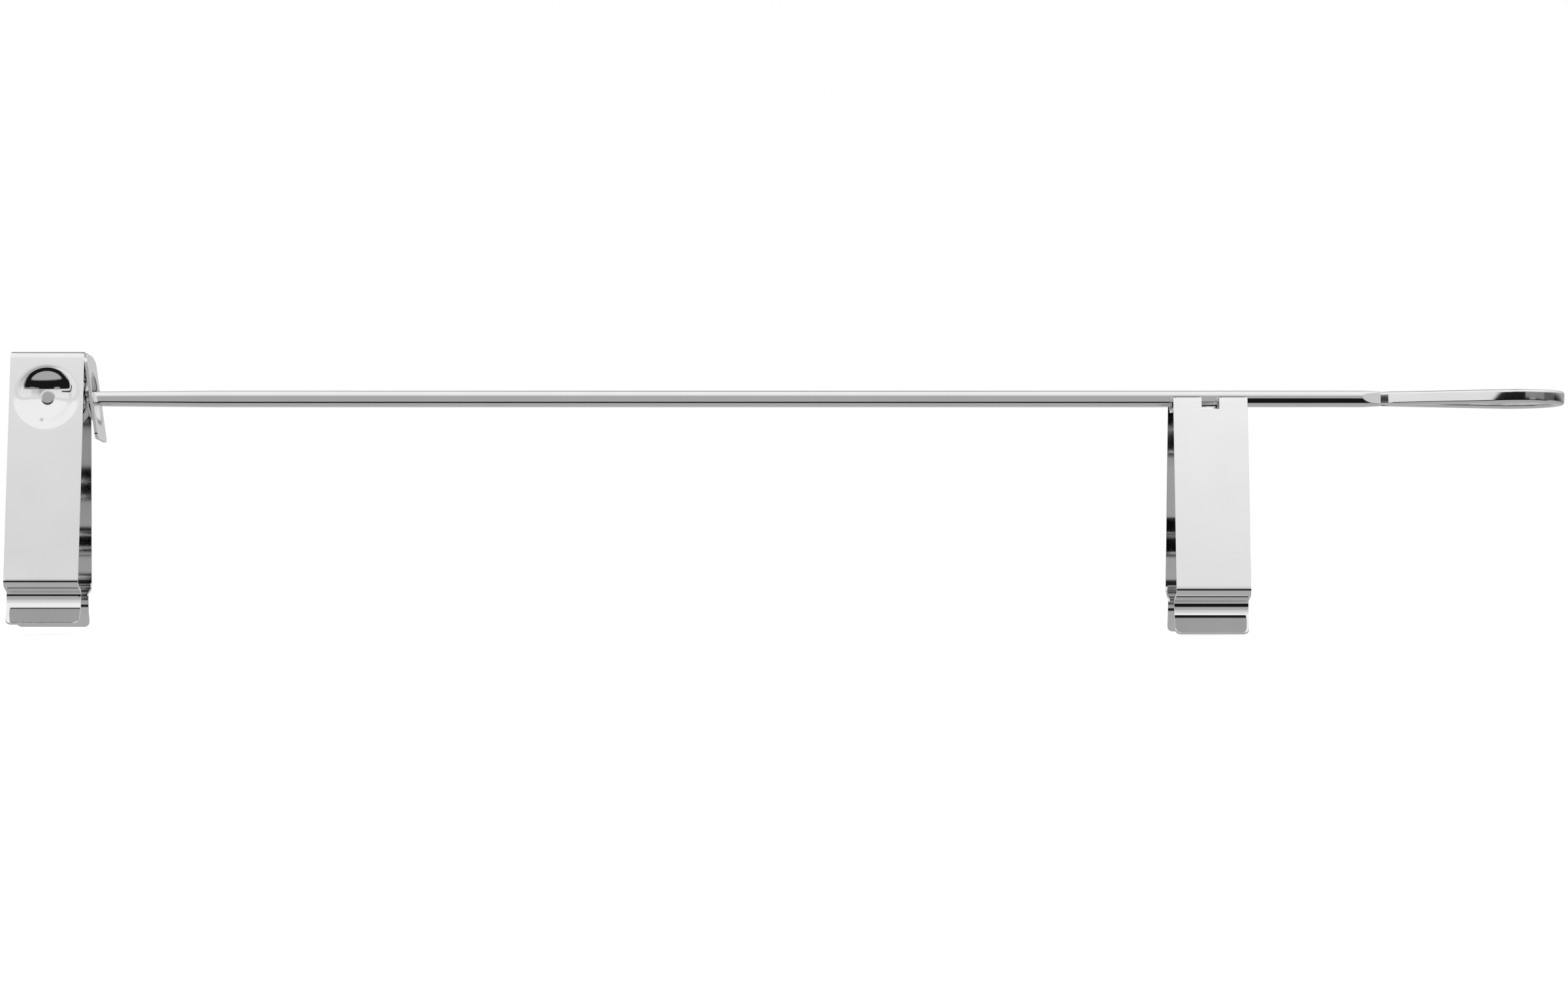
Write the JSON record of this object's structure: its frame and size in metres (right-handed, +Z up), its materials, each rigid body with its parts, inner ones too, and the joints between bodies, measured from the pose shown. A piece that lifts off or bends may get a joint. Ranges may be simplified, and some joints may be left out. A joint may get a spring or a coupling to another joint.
{
  "type": "clip-on valet rail",
  "caption": "Polished steel valet rail: a flat bar with a hanging loop, a sprung end clip that swivels on it and a second sprung clip that slides along it.",
  "frame": {"origin": "middle of the whole part's box, at the level of the sliding clip's lips", "axes": "+X along the bar from the end clip to the hanging loop, -Y the front, +Z up"},
  "size_m": [0.5206, 0.0526, 0.0941],
  "materials": {
    "bar_steel": "mirror polished flat bar",
    "sheet_steel": "mirror polished spring sheet",
    "pin_steel": "turned and peened"
  },
  "bodies": {
    "rail": {"bar": "bar_steel", "hanging_loop": "bar_steel", "lock_washer": "pin_steel"},
    "end_clip": {"end_clip": "sheet_steel", "cross_pin": "pin_steel"},
    "sliding_clip": {"sliding_clip": "sheet_steel"}
  },
  "joints": [
    {"name": "end_clip_swivel", "type": "hinge", "parent": "rail", "child": "end_clip", "pos_m": [-0.2479, 0.00198, 0.0785], "axis": [1, 0, 0], "range_deg": [-90, 90]},
    {"name": "sliding_clip_travel", "type": "slide", "parent": "rail", "child": "sliding_clip", "axis": [1, 0, 0], "range_m": [-0.35, 0.04]}
  ]
}
